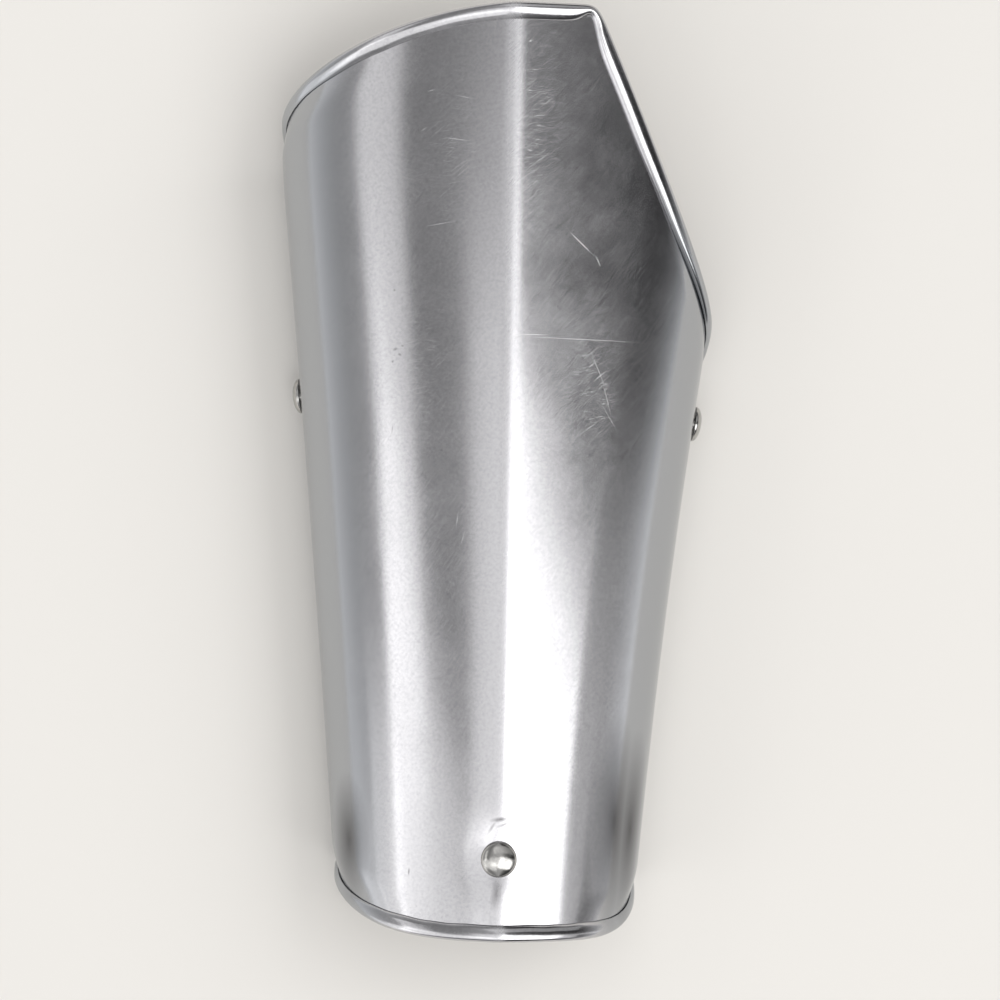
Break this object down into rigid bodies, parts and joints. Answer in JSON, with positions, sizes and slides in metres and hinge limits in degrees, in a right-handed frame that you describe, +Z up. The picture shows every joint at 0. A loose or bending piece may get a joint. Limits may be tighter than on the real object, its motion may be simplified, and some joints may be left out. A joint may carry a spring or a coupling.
{
  "type": "vambrace",
  "caption": "Steel forearm guard with a raised ridge, rolled edges, a slanted cut at the elbow, domed rivets and two buckled leather straps inside.",
  "frame": {"origin": "middle of the plate's footprint, on the plane of its long edges", "axes": "+Z up, out of the ridge; +Y along the forearm towards the elbow; +X towards the side that the slant cuts"},
  "size_m": [0.1276, 0.2694, 0.0618],
  "materials": {
    "steel": "bright polished mild steel with fine satin scratches",
    "rivet_steel": "bright domed steel rivets",
    "leather": "oiled brown strap leather",
    "buckle_steel": "bright steel wire"
  },
  "bodies": {
    "root": {"plate": "steel", "wrist_rivet": "rivet_steel", "left_rivet": "rivet_steel", "right_rivet": "rivet_steel", "elbow_strap": "leather", "elbow_buckle_strap": "leather", "wrist_strap": "leather", "elbow_buckle": "buckle_steel", "wrist_buckle": "buckle_steel"}
  },
  "joints": []
}
